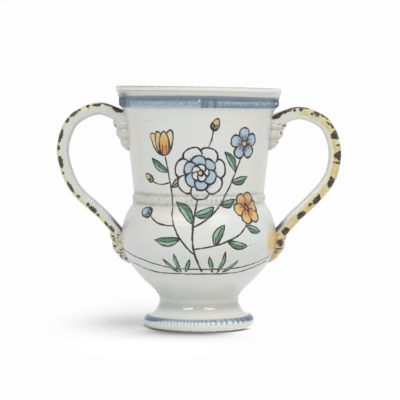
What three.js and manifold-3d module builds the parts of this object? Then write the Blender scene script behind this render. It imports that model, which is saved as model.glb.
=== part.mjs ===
// Two-handled faience vase: a beaker neck over a round bowl, on a spreading hollow foot.
// Millimetres, +Z up. The origin is the centre of the foot's resting ring.
// The painted front faces -Y, and the handles stand out along -X and +X.
import * as THREE from "three";
import { mergeVertices } from "three/addons/utils/BufferGeometryUtils.js";
import Module from "manifold-3d";

const wasm = await Module();
wasm.setup();

// Driving sizes
const height = 171.9; // resting ring to lip
const lipRadius = 59.4;
const bowlRadius = 55.8;
const footRadius = 39.5;
const seam = 0.3; // slip joint between neighbouring pieces
const facets = 48; // sides of each turned piece

// Straight steps that each curved outline is cut into
const steps = {
  hollow: 6,
  foot: 13,
  bowl: 17,
  bowlInside: 12,
  neck: 10,
  neckInside: 8,
  lip: 3,
  lipEdge: 5,
  ring: 4,
};

// Heights where the turned pieces meet
const footTop = 17.9;
const bowlBottom = footTop + seam;
const waistJoint = 91.7;
const ribBottom = 88.4;
const ribTop = 95.4;
const bandBottom = 156.9;
const bandTop = 164.1;

// The lip stands lower over the right handle, as the fired rim has sunk there
const rimSag = 2.2;
const sagStart = 112;

// Radii of the seats that the two applied rings lie in, and of the rings themselves
const ribSeat = 44.9;
const ribRadius = 47.5;
const bandSeat = 54.5;
const bandRadius = 57.2;

// Inside radii where the wall is met by both turned pieces, and where the mouth begins to turn out
const waistBore = 41.3;
const mouth = [54.6, 166.4];

const glaze = new THREE.MeshStandardMaterial({ color: 0xd9dcd7, roughness: 0.22, metalness: 0 });
const blue = new THREE.MeshStandardMaterial({ color: 0x8397b4, roughness: 0.25, metalness: 0 });
const ochre = new THREE.MeshStandardMaterial({ color: 0xd2b36c, roughness: 0.25, metalness: 0 });

const point = (r, z) => new THREE.Vector2(r, z);

// Points along a smooth line through a few key points
function smooth(keys, count) {
  return new THREE.SplineCurve(keys.map(([r, z]) => point(r, z))).getPoints(count);
}

// How far the rim has sunk at a point of the neck: nothing on the left, all of it on the right
function sagAt(x, z) {
  const up = THREE.MathUtils.smoothstep(z, sagStart, height);
  return (rimSag * up * (x + lipRadius)) / (2 * lipRadius);
}

// A turned piece from its outline, which runs anticlockwise with the axis on its left
function turned(outline) {
  const made = new THREE.LatheGeometry(outline, facets);
  made.rotateX(Math.PI / 2);
  const place = made.getAttribute("position");
  for (let i = 0; i < place.count; i++) {
    place.setZ(i, place.getZ(i) - sagAt(place.getX(i), place.getZ(i)));
  }
  return made;
}

// Solids for cutting, and back to a geometry for the mesh
function solidOf(geometry) {
  const bare = geometry.clone();
  bare.deleteAttribute("normal");
  bare.deleteAttribute("uv");
  const merged = mergeVertices(bare, 1e-3);
  const mesh = new wasm.Mesh({
    numProp: 3,
    vertProperties: new Float32Array(merged.getAttribute("position").array),
    triVerts: new Uint32Array(merged.index.array),
  });
  return new wasm.Manifold(mesh);
}

function geometryOf(solid) {
  const mesh = solid.getMesh();
  const made = new THREE.BufferGeometry();
  made.setAttribute("position", new THREE.BufferAttribute(mesh.vertProperties, 3));
  made.setIndex(new THREE.BufferAttribute(mesh.triVerts, 1));
  return made;
}

// Of the pieces that a cut leaves, the one that belongs to the object
function largest(solid) {
  const pieces = solid.decompose();
  return pieces.reduce((a, b) => (b.volume() > a.volume() ? b : a));
}

// Outside lines of the turned pieces, from the foot up
const footSide = [
  [37.2, 0],
  [39.1, 1.3],
  [footRadius, 3.4],
  [39.2, 5.9],
  [37.6, 7.8],
  [34.8, 8.6],
  [32.2, 10.6],
  [29.8, 14.2],
  [28.3, footTop],
];
const bowlSide = [
  [28, bowlBottom],
  [28.3, 21.6],
  [32.5, 27.2],
  [40.5, 34.6],
  [48.8, 44.6],
  [54.3, 53.6],
  [bowlRadius, 61.8],
  [54.6, 71.6],
  [51.2, 81.6],
  [47.2, ribBottom - seam],
];
const neckSide = [
  [46.4, ribTop + seam],
  [47.7, 107.5],
  [49.8, 126],
  [51, 140],
  [52.8, 151.4],
  [55.2, bandBottom - seam],
];
const lipSide = [
  [57.5, bandTop + seam],
  [58.3, 167.2],
  [lipRadius, 170.3],
];
const lipEdge = [
  [lipRadius, 170.3],
  [59.2, 171.3],
  [58.2, height],
  [57.1, 171.3],
  mouth,
];

// Foot: a trumpet with a thick cushion edge, hollowed underneath
function footGeometry() {
  const hollow = [
    [0, 10.4],
    [14, 10],
    [25, 7.2],
    [31.4, 2.4],
    [33, 0],
  ];
  return turned([...smooth(hollow, steps.hollow), ...smooth(footSide, steps.foot), point(0, footTop)]);
}

// Bowl: the lower half of the hollow body, closed below
function bowlGeometry() {
  const inside = [
    [waistBore, waistJoint],
    [46.4, 81.4],
    [50.2, 70.4],
    [51.2, 61.8],
    [49.4, 54.2],
    [42.6, 46.2],
    [33, 37.6],
    [22, 29.6],
    [11, 26],
    [0, 25.2],
  ];
  const seat = [point(ribSeat, ribBottom - seam), point(ribSeat, waistJoint)];
  return turned([
    point(0, bowlBottom),
    ...smooth(bowlSide, steps.bowl),
    ...seat,
    ...smooth(inside, steps.bowlInside),
  ]);
}

// Neck: the upper half, seated on the bowl at the waist and turned out to a thin lip
function neckGeometry() {
  const bottom = waistJoint + seam;
  const inside = [
    mouth,
    [51, 158.6],
    [48.6, 151],
    [46.8, 140],
    [45.5, 126],
    [43.2, 107.5],
    [waistBore, bottom],
  ];
  return turned([
    point(waistBore, bottom),
    point(ribSeat, bottom),
    point(ribSeat, ribTop + seam),
    ...smooth(neckSide, steps.neck),
    point(bandSeat, bandBottom - seam),
    point(bandSeat, bandTop + seam),
    ...smooth(lipSide, steps.lip),
    ...smooth(lipEdge, steps.lipEdge).slice(1),
    ...smooth(inside, steps.neckInside).slice(1),
  ]);
}

// A ring laid in its seat, with a rounded outside that swells a little between its edges
function ringGeometry(seatRadius, radius, bottom, top, swell) {
  const inner = seatRadius + seam;
  const shoulder = (top - bottom) * 0.22;
  const shoulderRadius = radius - swell * 0.25;
  const outside = smooth(
    [
      [radius - swell, bottom],
      [shoulderRadius, bottom + shoulder],
      [radius, (bottom + top) / 2],
      [shoulderRadius, top - shoulder],
      [radius - swell, top],
    ],
    steps.ring,
  );
  return turned([point(inner, bottom), ...outside, point(inner, top), point(inner, bottom)]);
}

// The whole outside as one filled solid, stood off by the joint, for fitting what is stuck to it
function envelope() {
  const line = [
    ...smooth(footSide, steps.foot),
    ...smooth(bowlSide, steps.bowl),
    point(ribRadius, ribBottom),
    point(ribRadius, ribTop),
    ...smooth(neckSide, steps.neck),
    point(bandRadius, bandBottom),
    point(bandRadius, bandTop),
    ...smooth(lipSide, steps.lip),
  ];
  const outside = line.map((p) => point(p.x + seam, p.y));
  return solidOf(turned([point(0, 0), ...outside, point(0, outside.at(-1).y)]));
}

// Handles: straps swept along lines in the XZ plane, from inside the neck wall to inside the bowl wall.
// They are bent by hand, so the right one springs a little lower from the neck and is a little fuller.
const leftKeys = [
  [50, 145.5],
  [57.7, 151.1],
  [71.7, 155.7],
  [88, 148.8],
  [93.8, 140.6],
  [97.2, 124.5],
  [90.9, 102.9],
  [84.5, 94.1],
  [74.9, 85.5],
  [68.5, 79.7],
  [61.5, 71.7],
  [52, 59.4],
];
const rightKeys = [
  [50, 143.4],
  [57.7, 148.3],
  [71.7, 152.5],
  [88.1, 146.3],
  [93.9, 138.4],
  [97.2, 124.5],
  [95, 109.5],
  [91.5, 102.5],
  [84, 93.4],
  [75.5, 84.9],
  [68.7, 78.6],
  [62, 71.2],
  [52, 59.4],
];
const handles = {
  left: { side: -1, keys: leftKeys, thickness: 9.3, slimming: 0.08 },
  right: { side: 1, keys: rightKeys, thickness: 9.3, slimming: 0 },
};
const strap = {
  width: 12,
  slimFrom: 0.25,
  slimTo: 0.8,
  squareness: 0.72,
  ringPoints: 12,
  stations: 26,
};

function handleLine({ side, keys }) {
  const places = keys.map(([x, z]) => new THREE.Vector3(side * x, 0, z));
  return new THREE.CatmullRomCurve3(places, false, "centripetal");
}

// Half thickness and half width along the strap: full at the crown, slimmer down the long run
function strapSize({ thickness, slimming }, t, grow) {
  const slim = 1 - slimming * THREE.MathUtils.smoothstep(t, strap.slimFrom, strap.slimTo);
  return [(thickness / 2) * slim + grow, (strap.width / 2) * slim + grow];
}

// Closes a stack of rings, each a list of points in the same order, into one skin with capped ends
function skinOf(rings) {
  const count = rings[0].length;
  const places = rings.flat();
  const faces = [];
  for (let i = 0; i + 1 < rings.length; i++) {
    for (let j = 0; j < count; j++) {
      const a = i * count + j;
      const b = i * count + ((j + 1) % count);
      faces.push(a, b, b + count, a, b + count, a + count);
    }
  }
  for (const [ring, flip] of [[0, true], [rings.length - 1, false]]) {
    const centre = new THREE.Vector3();
    rings[ring].forEach((p) => centre.addScaledVector(p, 1 / count));
    const hub = places.push(centre) - 1;
    for (let j = 0; j < count; j++) {
      const a = ring * count + j;
      const b = ring * count + ((j + 1) % count);
      faces.push(...(flip ? [hub, b, a] : [hub, a, b]));
    }
  }
  const made = new THREE.BufferGeometry().setFromPoints(places);
  made.setIndex(faces);
  return made;
}

// A solid from rings, turned outward if the rings ran the other way
function closed(rings) {
  const made = solidOf(skinOf(rings));
  return made.volume() > 0 ? made : solidOf(skinOf(rings.map((ring) => [...ring].reverse())));
}

function handleSolid(which, grow = 0) {
  const line = handleLine(which);
  const across = new THREE.Vector3(0, 1, 0);
  const rings = [];
  for (let i = 0; i <= strap.stations; i++) {
    const t = i / strap.stations;
    const centre = line.getPointAt(t);
    const out = line.getTangentAt(t).cross(across).normalize();
    const [halfThick, halfWide] = strapSize(which, t, grow);
    const ring = [];
    for (let j = 0; j < strap.ringPoints; j++) {
      const angle = (2 * Math.PI * j) / strap.ringPoints;
      const round = (v) => Math.sign(v) * Math.abs(v) ** strap.squareness;
      ring.push(
        centre
          .clone()
          .addScaledVector(out, halfThick * round(Math.cos(angle)))
          .addScaledVector(across, halfWide * round(Math.sin(angle))),
      );
    }
    rings.push(ring);
  }
  return closed(rings);
}

// Moulded leaf sprigs that cover the handle ends. Each hangs down the wall, proud of it,
// and its edge and back swell into rounded lobes.
const leaves = {
  upper_leaf_left: { top: 148.5, bottom: 125.2, halfWidth: 8.6, proudTop: 9, proudTip: 4.2 },
  upper_leaf_right: { top: 147, bottom: 125.5, halfWidth: 8.6, proudTop: 10.6, proudTip: 4.4 },
  lower_leaf_left: { top: 67.5, bottom: 44.6, halfWidth: 9.4, proudTop: 7.6, proudTip: 2 },
  lower_leaf_right: { top: 67.5, bottom: 44.6, halfWidth: 9.4, proudTop: 7, proudTip: 1.6 },
};
const leafShape = {
  sunk: 3.2, // how far the back starts inside the wall
  shoulder: 0.66, // width at the top, as a share of the widest
  widestAt: 0.42, // share of the length, from the top
  tipSharpness: 6,
  tipWidth: 0.2,
  thinning: 1.6, // above 1 the back stays full over the upper half
  lobes: 3,
  firstLobe: 0.06,
  lobeWidth: 0.1,
  lobeProud: 0.13,
  stations: 14,
  ringPoints: 10,
};

// Outside radius of the vase at a height
function wallRadius(z) {
  const line = [...smooth(bowlSide, 60), ...smooth(neckSide, 60)];
  const above = line.findIndex((p) => p.y >= z);
  const [low, high] = [line[above - 1], line[above]];
  return THREE.MathUtils.mapLinear(z, low.y, high.y, low.x, high.x);
}

function leafSolid(leaf, side) {
  const rings = [];
  for (let i = 0; i <= leafShape.stations; i++) {
    const s = i / leafShape.stations;
    const z = THREE.MathUtils.lerp(leaf.top, leaf.bottom, s);
    const slope = wallRadius(z + 1) - wallRadius(z - 1);
    const out = new THREE.Vector3(2, 0, -slope).normalize();
    const foot = new THREE.Vector3(wallRadius(z), 0, z).addScaledVector(out, -leafShape.sunk);
    const lobe = Math.abs(Math.sin(Math.PI * leafShape.lobes * THREE.MathUtils.lerp(leafShape.firstLobe, 1, s)));
    const tip = Math.sqrt(Math.max(1 - s ** leafShape.tipSharpness, leafShape.tipWidth ** 2));
    const fullness = Math.sin(Math.PI * Math.min((s * 0.5) / leafShape.widestAt, 1));
    const outline = THREE.MathUtils.lerp(leafShape.shoulder, 1, fullness);
    const halfWide = leaf.halfWidth * outline * tip * (1 + leafShape.lobeWidth * (lobe - 0.5));
    const rise = THREE.MathUtils.lerp(leaf.proudTop, leaf.proudTip, s ** leafShape.thinning) * tip;
    const proud = rise * (1 + leafShape.lobeProud * (lobe - 0.5)) + leafShape.sunk;
    const ring = [];
    for (let j = 0; j < leafShape.ringPoints; j++) {
      const angle = (Math.PI * j) / (leafShape.ringPoints - 1);
      const p = foot.clone().addScaledVector(out, proud * Math.sin(angle) ** 0.8);
      p.y = halfWide * Math.cos(angle);
      p.x *= side;
      ring.push(p);
    }
    rings.push(ring);
  }
  return closed(rings);
}

// Group of named pieces
const vase = new THREE.Group();

function add(name, geometry, material) {
  const mesh = new THREE.Mesh(geometry, material);
  mesh.name = name;
  vase.add(mesh);
}

add("foot", footGeometry(), glaze);
add("bowl", bowlGeometry(), glaze);
add("neck", neckGeometry(), glaze);
add("waist_rib", ringGeometry(ribSeat, ribRadius, ribBottom, ribTop, 0.9), glaze);
add("rim_band", ringGeometry(bandSeat, bandRadius, bandBottom, bandTop, 0.5), blue);

const outside = envelope();
for (const [name, which] of Object.entries(handles)) {
  const grown = handleSolid(which, seam);
  add(`handle_${name}`, geometryOf(largest(handleSolid(which).subtract(outside))), glaze);
  for (const [leaf, colour] of [[`upper_leaf_${name}`, glaze], [`lower_leaf_${name}`, ochre]]) {
    const solid = leafSolid(leaves[leaf], which.side);
    add(leaf, geometryOf(largest(solid.subtract(outside).subtract(grown))), colour);
  }
}

export default vase;
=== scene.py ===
import bpy
import bmesh
import math
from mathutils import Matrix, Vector


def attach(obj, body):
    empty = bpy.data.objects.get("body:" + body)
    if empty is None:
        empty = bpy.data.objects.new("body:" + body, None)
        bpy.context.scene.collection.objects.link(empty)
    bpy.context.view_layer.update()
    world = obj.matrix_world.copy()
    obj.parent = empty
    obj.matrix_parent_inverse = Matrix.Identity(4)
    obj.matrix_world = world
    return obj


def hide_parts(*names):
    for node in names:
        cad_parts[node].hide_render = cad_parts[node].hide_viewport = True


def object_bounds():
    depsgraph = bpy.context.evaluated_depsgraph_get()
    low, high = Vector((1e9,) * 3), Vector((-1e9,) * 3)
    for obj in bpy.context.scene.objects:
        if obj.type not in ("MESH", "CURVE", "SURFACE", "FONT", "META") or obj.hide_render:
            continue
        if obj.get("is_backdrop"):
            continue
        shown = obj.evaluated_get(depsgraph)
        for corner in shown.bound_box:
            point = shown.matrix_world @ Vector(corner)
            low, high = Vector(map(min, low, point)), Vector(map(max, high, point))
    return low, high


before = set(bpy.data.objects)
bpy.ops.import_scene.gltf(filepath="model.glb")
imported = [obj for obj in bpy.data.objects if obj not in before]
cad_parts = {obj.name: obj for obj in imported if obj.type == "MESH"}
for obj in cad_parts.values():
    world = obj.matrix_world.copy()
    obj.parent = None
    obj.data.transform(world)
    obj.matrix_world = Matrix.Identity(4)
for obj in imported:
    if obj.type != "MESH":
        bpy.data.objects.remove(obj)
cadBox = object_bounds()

mm = 0.001

# Camera: a little above the lip, a metre and a half away
view = {
    "place": (0.0008, -1.5, 0.187), "aim": (0.0008, 0.0, 0.0902),
    "lens": 189.0, "sensor": 36.0, "reach": 20.0,
}


def addObject(name, data):
    item = bpy.data.objects.new(name, data)
    bpy.context.collection.objects.link(item)
    return item


def placeCamera():
    camera = addObject("camera", bpy.data.cameras.new("camera"))
    camera.data.lens = view["lens"]
    camera.data.sensor_width = view["sensor"]
    camera.data.clip_end = view["reach"]
    camera.location = view["place"]
    camera.rotation_euler = (Vector(view["aim"]) - Vector(view["place"])).to_track_quat("-Z", "Y").to_euler()
    bpy.context.scene.camera = camera


placeCamera()
print("camera placed")


# Sums on node outputs, written as formulas
class Wire:
    def __init__(self, socket):
        self.socket = socket
        self.tree = socket.id_data

    def calc(self, operation, *others, clamp=False):
        feeds = dict(enumerate((self, *others)))
        return outOf(addNode(self.tree, "ShaderNodeMath", feeds, operation=operation, use_clamp=clamp))

    def __add__(self, other):
        return self.calc("ADD", other)

    def __sub__(self, other):
        return self.calc("SUBTRACT", other)

    def __rsub__(self, other):
        return (-self).calc("ADD", other)

    def __mul__(self, other):
        return self.calc("MULTIPLY", other)

    def __truediv__(self, other):
        return self.calc("DIVIDE", other)

    def __pow__(self, other):
        return self.calc("POWER", other)

    def __neg__(self):
        return self * -1.0

    def __abs__(self):
        return self.calc("ABSOLUTE")

    __radd__ = __add__
    __rmul__ = __mul__

    def least(self, other):
        return self.calc("MINIMUM", other)

    def most(self, other):
        return self.calc("MAXIMUM", other)

    def share(self):  # kept between 0 and 1
        return self.calc("ADD", 0.0, clamp=True)

    def bell(self, centre, halfWidth):  # 1 at the centre, falling away on both sides
        away = (self - centre) / halfWidth
        return (-(away * away)).calc("EXPONENT")

    def smooth(self, low, high):  # 0 at low and 1 at high, with a soft step between, not held past them
        feeds = dict(enumerate((self, low, high, 0.0, 1.0)))
        settings = {"interpolation_type": "SMOOTHSTEP", "clamp": False}
        return outOf(addNode(self.tree, "ShaderNodeMapRange", feeds, **settings))

    def step(self, low, high):  # the same, held between 0 and 1
        return self.smooth(low, high).most(0.0).least(1.0)

    def over(self, under, colour):  # a colour laid over what is under it, by this share
        return blend(self.share(), under, colour)

    def noise(self, scale, detail=2.0, seed=None):
        feeds = {"Vector": self, "Scale": scale, "Detail": detail, "Roughness": 0.5}
        if seed is None:
            return outOf(addNode(self.tree, "ShaderNodeTexNoise", feeds))
        return outOf(addNode(self.tree, "ShaderNodeTexNoise", {**feeds, "W": seed}, noise_dimensions="4D"))

    def split(self):
        node = addNode(self.tree, "ShaderNodeSeparateXYZ", {0: self})
        return [outOf(node, slot) for slot in range(3)]


def feed(slot, value):
    if isinstance(value, Wire):
        value.tree.links.new(value.socket, slot)
    elif slot.type == "RGBA":
        slot.default_value = (*value[:3], 1.0)
    else:
        slot.default_value = value


def addNode(tree, kind, feeds=None, **settings):
    node = tree.nodes.new(kind)
    for name, value in settings.items():
        setattr(node, name, value)
    for slot, value in (feeds or {}).items():
        feed(node.inputs[slot], value)
    return node


def outOf(node, slot=0):
    return Wire(node.outputs[slot])


def treeOf(values):
    return next(value.tree for value in values if isinstance(value, Wire))


# A socket is given by its first value, by its kind, or by both where that value has three or four parts
def newTree(kind, name, inputs, outputs):
    tree = bpy.data.node_groups.new(name, kind)
    for way, sockets in (("INPUT", inputs), ("OUTPUT", outputs)):
        for label, given in sockets.items():
            if isinstance(given, str):
                given = (given, None)
            elif not isinstance(given, tuple):
                given = ("Int" if isinstance(given, int) else "Float", given)
            socketKind, default = given
            socket = tree.interface.new_socket(name=label, in_out=way, socket_type="NodeSocket" + socketKind)
            if default is not None:
                socket.default_value = default
    source = tree.nodes.new("NodeGroupInput")
    wires = {label: outOf(source, label) for label in inputs}
    return tree, wires, tree.nodes.new("NodeGroupOutput")


def joined(x, y, z):
    return outOf(addNode(treeOf((x, y, z)), "ShaderNodeCombineXYZ", {0: x, 1: y, 2: z}))


def vectorMath(operation, *values, output="Vector"):
    node = addNode(treeOf(values), "ShaderNodeVectorMath", dict(enumerate(values)), operation=operation)
    return outOf(node, output)


def partOf(vector, axis):
    return vectorMath("DOT_PRODUCT", vector, axis, output="Value")


def lengthOf(x, y):
    return vectorMath("LENGTH", joined(x, y, 0.0), output="Value")


def blend(share, first, second, **settings):
    feeds = {0: share, 6: first, 7: second}
    return outOf(addNode(treeOf(feeds.values()), "ShaderNodeMix", feeds, data_type="RGBA", **settings), 2)


# Smooth lines through a few key points. Power 0 spaces the keys evenly and 0.5 by their distances.
def throughKeys(keys, step, power=0.0):
    line = []
    for i in range(len(keys) - 1):
        a, b = Vector(keys[i]), Vector(keys[i + 1])
        before = Vector(keys[i - 1]) if i else (a if power == 0 else a * 2 - b)
        after = Vector(keys[i + 2]) if i + 2 < len(keys) else (b if power == 0 else b * 2 - a)
        gaps = [(q - p).length ** power for p, q in ((before, a), (a, b), (b, after))]
        leave = ((a - before) / gaps[0] - (b - before) / (gaps[0] + gaps[1]) + (b - a) / gaps[1]) * gaps[1]
        arrive = ((b - a) / gaps[1] - (after - a) / (gaps[1] + gaps[2]) + (after - b) / gaps[2]) * gaps[1]
        count = max(2, round((b - a).length / step))
        for k in range(count):
            t = k / count
            line.append(
                a * (2 * t**3 - 3 * t**2 + 1)
                + b * (3 * t**2 - 2 * t**3)
                + leave * (t**3 - 2 * t**2 + t)
                + arrive * (t**3 - t**2)
            )
    line.append(Vector(keys[-1]))
    return line


def straightKeys(keys, step):
    line = []
    for a, b in zip(keys, keys[1:]):
        a, b = Vector(a), Vector(b)
        count = max(1, round((b - a).length / step))
        line += [a.lerp(b, k / count) for k in range(count)]
    return line + [Vector(keys[-1])]


# Outside and inside lines of the thrown pot, as radius and height in millimetres
pot = {
    "footSide": [
        (37.0, 0.3), (38.9, 1.5), (39.45, 3.3), (39.2, 5.9), (37.6, 7.8),
        (34.8, 8.6), (32.1, 10.6), (29.6, 14.2), (28.2, 17.6), (27.6, 19.6),
    ],
    "hollow": [(0, 10.4), (14, 10), (25, 7.2), (31.4, 2.4), (33.3, 0.3)],
    "bowlSide": [
        (28.3, 17.9), (28.3, 18.9), (28.7, 21.8), (32.6, 27.2), (40.5, 34.6), (48.8, 44.6),
        (54.3, 53.6), (55.8, 61.8), (54.6, 71.6), (51.2, 81.6), (47.2, 88.1),
    ],
    "bowlInside": [
        (41.6, 91.9), (46.4, 81.4), (50.2, 70.4), (51.2, 61.8), (49.4, 54.2),
        (42.6, 46.2), (33, 37.6), (22, 29.6), (11, 26), (0, 25.2),
    ],
    "neckSide": [(46.4, 95.7), (47.7, 107.5), (49.8, 126), (51, 140), (52.8, 151.4), (55.2, 156.6)],
    "lipSide": [
        (57.4, 164.2), (57.8, 165.6), (58.2, 167.2), (58.8, 169.2), (59.2, 170.6),
        (58.9, 171.5), (58.1, 171.8), (57.2, 171.3), (54.6, 166.4),
    ],
    "neckInside": [
        (54.6, 166.4), (51, 158.6), (48.6, 151), (46.8, 140), (45.5, 126), (43.2, 107.5), (41.3, 91.5),
    ],
    "step": 0.8,
    "sides": 256,
}
rim = {
    "height": 171.9, "radius": 59.4, "sag": 2.2, "sagFrom": 146.0,
    "lift": 1.0, "liftFrom": 110.0, "liftTo": 158.0,
}


def outlineOf(*stretches):
    line = []
    for stretch in stretches:
        line += stretch if not line or (line[-1] - stretch[0]).length > 1e-6 else stretch[1:]
    return line


def potLine(name):
    return throughKeys(pot[name], pot["step"])


def footOutline():
    ring = straightKeys([(33.3, 0.3), (34.0, 0.0), (36.2, 0.0), (37.0, 0.3)], pot["step"])
    top = straightKeys([(27.6, 19.6), (26.6, 20.0), (0, 20.0)], 3.0)
    return outlineOf(potLine("hollow"), ring, potLine("footSide"), top)


def bowlOutline():
    bottom = straightKeys([(0, 17.2), (27.6, 17.2), (28.3, 17.9)], 3.0)
    seat = straightKeys([(47.2, 88.1), (46.3, 91.9), (41.6, 91.9)], pot["step"])
    return outlineOf(bottom, potLine("bowlSide"), seat, potLine("bowlInside"))


def neckOutline():
    seat = straightKeys([(41.3, 91.5), (46.2, 91.5), (46.4, 95.7)], pot["step"])
    behindBand = straightKeys([(55.2, 156.6), (55.9, 163.2), (57.4, 164.2)], pot["step"])
    fine = throughKeys(pot["lipSide"], pot["step"] / 2)
    return outlineOf(seat, potLine("neckSide"), behindBand, fine, potLine("neckInside"))


def polyline(name, points):
    mesh = bpy.data.meshes.new(name)
    edges = [(i, i + 1) for i in range(len(points) - 1)]
    mesh.from_pydata([(x * mm, 0.0, z * mm) for x, z in points], edges, [])
    return mesh


weld = 2e-6  # metres within which points become one


# A modifier's inputs are set by their identifiers before the object is first evaluated
def grown(name, mesh, tree, sizes):
    piece = addObject(name, mesh)
    modifier = piece.modifiers.new("growth", "NODES")
    modifier.node_group = tree
    for item in tree.interface.items_tree:
        if item.in_out == "INPUT" and item.name in sizes:
            modifier[item.identifier] = sizes[item.name]
    graph = bpy.context.evaluated_depsgraph_get()
    made = bpy.data.meshes.new_from_object(
        piece.evaluated_get(graph), preserve_all_data_layers=True, depsgraph=graph
    )
    piece.modifiers.clear()
    piece.data = made
    made.name = name
    faceOut(made)
    return piece


def faceOut(mesh):
    work = bmesh.new()
    work.from_mesh(mesh)
    bmesh.ops.remove_doubles(work, verts=work.verts, dist=weld)
    bmesh.ops.recalc_face_normals(work, faces=work.faces)
    work.to_mesh(mesh)
    work.free()


def finishPiece(piece, slot, *nodes):
    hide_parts(*nodes)
    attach(piece, "root")


# Grid of points for a tree: share along and round, each from 0 to 1
def sweepGrid(tree, alongCount, roundCount):
    counts = {"Size X": 1.0, "Size Y": 1.0, "Vertices X": alongCount, "Vertices Y": roundCount}
    grid = addNode(tree, "GeometryNodeMeshGrid", counts)
    x, y, _ = outOf(addNode(tree, "GeometryNodeInputPosition")).split()
    return outOf(grid, "Mesh"), x + 0.5, y + 0.5


def finishSweep(tree, geometry, place, material, end, stored):
    store = "GeometryNodeStoreNamedAttribute"
    steps = [(store, {"Name": name, "Value": value}) for name, value in stored.items()] + [
        ("GeometryNodeSetPosition", {"Position": place}),
        ("GeometryNodeMergeByDistance", {"Distance": weld}),
        ("GeometryNodeSetShadeSmooth", {}),
        ("GeometryNodeRealizeInstances", {}),
        ("GeometryNodeSetMaterial", {"Material": material}),
    ]
    for kind, feeds in steps:
        geometry = outOf(addNode(tree, kind, {"Geometry": geometry, **feeds}))
    feed(end.inputs[0], geometry)


deepBead = 0.45 * mm  # relief at which the painted shade between the beads is at its full strength


# Turned piece: the outline carried round the axis, with the small unevenness of hand throwing.
# A ring can also carry a row of soft beads round its outside.
def makeTurnedTree():
    tree, wire, end = newTree(
        "GeometryNodeTree",
        "turnedPiece",
        {
            "Outline": "Geometry", "Sides": 256, "Wobble": 0.25 * mm, "Wobble Scale": 14.0,
            "Throwing Ridge": 0.035 * mm, "Ridge Spacing": 4.6 * mm,
            "Bead Count": 70.0, "Bead Relief": 0.0, "Bead Height": 0.0, "Bead Half Height": 2.0 * mm,
            "Sag": rim["sag"] * mm, "Sag From": rim["sagFrom"] * mm,
            "Lift": rim["lift"] * mm, "Lift From": rim["liftFrom"] * mm, "Lift To": rim["liftTo"] * mm,
            "Rim Height": rim["height"] * mm, "Rim Radius": rim["radius"] * mm,
            "Seed": 0.0, "Material": "Material",
        },
        {"Piece": "Geometry"},
    )
    size = addNode(tree, "GeometryNodeAttributeDomainSize", {"Geometry": wire["Outline"]}, component="MESH")
    rows = outOf(size, "Point Count")
    geometry, around, along = sweepGrid(tree, wire["Sides"] + 1.0, rows)
    index = (along * (rows - 1.0) + 0.5).calc("FLOOR")
    place = outOf(addNode(tree, "GeometryNodeInputPosition"))
    asked = {"Geometry": wire["Outline"], "Value": place, "Index": index}
    key = addNode(tree, "GeometryNodeSampleIndex", asked, data_type="FLOAT_VECTOR")
    radius, _, height = outOf(key).split()
    angle = (around - 0.5) * (2 * math.pi)
    sine, cosine = angle.calc("SINE"), angle.calc("COSINE")
    spot = joined(sine * 0.05, cosine * -0.05, height)
    uneven = spot.noise(wire["Wobble Scale"], 1.0, wire["Seed"])
    ridges = (height * (2 * math.pi) / wire["Ridge Spacing"] + angle).calc("SINE") * wire["Throwing Ridge"]
    phase = angle * wire["Bead Count"] + (spot.noise(60.0, 0.0) - 0.5) * 2.2
    bead = phase.calc("COSINE") * 0.5 + 0.5
    row = height.bell(wire["Bead Height"], wire["Bead Half Height"])
    outer = radius.smooth(wire["Rim Radius"] * 0.4, wire["Rim Radius"] * 0.7)
    beads = (bead - 1.0) * row * wire["Bead Relief"] * outer
    held = radius.smooth(0.0, 0.006) * height.smooth(0.0, 0.004)
    worn = radius + ((uneven - 0.55) * wire["Wobble"] + ridges) * held + beads
    x, y = worn * sine, -(worn * cosine)
    sunk = height.smooth(wire["Sag From"], wire["Rim Height"]).most(0.0) * wire["Sag"]
    sunk = sunk * ((x + wire["Rim Radius"]) / (wire["Rim Radius"] * 2.0))
    raised = height.smooth(wire["Lift From"], wire["Lift To"]).most(0.0) * wire["Lift"]
    raised = raised * (-(y / wire["Rim Radius"])).most(0.0) ** 3.0
    # painted shade between the beads, kept for the body's glaze
    between = (1.0 - bead) * row * outer * (wire["Bead Relief"] / deepBead)
    moved = joined(x, y, height - sunk + raised)
    finishSweep(tree, geometry, moved, wire["Material"], end, {"between": between})
    return tree


# Height that a point of the rim had before it sank and rose
def levelAt(x, y, z):
    radius = rim["radius"]
    sunk = (x + radius) * (z.step(rim["sagFrom"], rim["height"]) * (rim["sag"] / (2 * radius)))
    raised = z.step(rim["liftFrom"], rim["liftTo"]) * rim["lift"]
    return z + sunk - raised * (y / -radius).most(0.0) ** 3.0


# Two rings laid round the pot. Each outline is the ring's face, then its back inside the wall.
rings = {
    "waist_rib": {
        "face": [
            (46.2, 88.7), (47.0, 89.5), (47.45, 91.0), (47.5, 92.4), (47.2, 94.0), (46.6, 95.3), (45.9, 96.0),
        ],
        "back": [(45.9, 96.0), (44.6, 94.6), (44.6, 89.8), (46.2, 88.7)],
        "Bead Count": 84.0, "Bead Relief": deepBead, "Bead Height": 92.5 * mm,
        "Bead Half Height": 1.9 * mm, "Sides": 840,
    },
    "rim_band": {
        "face": [
            (55.3, 156.9), (56.2, 157.5), (56.9, 158.5), (57.1, 160.3), (57.05, 162.1), (57.0, 163.5),
            (56.7, 164.5), (56.1, 165.0),
        ],
        "back": [(56.1, 165.0), (54.4, 163.9), (53.6, 157.9), (55.3, 156.9)],
        "Bead Count": 112.0, "Bead Relief": 0.16 * mm, "Bead Height": 159.1 * mm,
        "Bead Half Height": 1.3 * mm, "Sides": 896,
    },
}


def makeRing(name, tree, material, slot):
    ring = rings[name]
    outline = outlineOf(throughKeys(ring["face"], 0.3), straightKeys(ring["back"], 2.0))
    sizes = {**ring, "Throwing Ridge": 0.0, "Material": material}
    finishPiece(grown(name + "_glazed", polyline(name, outline), tree, sizes), slot, name)


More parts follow.
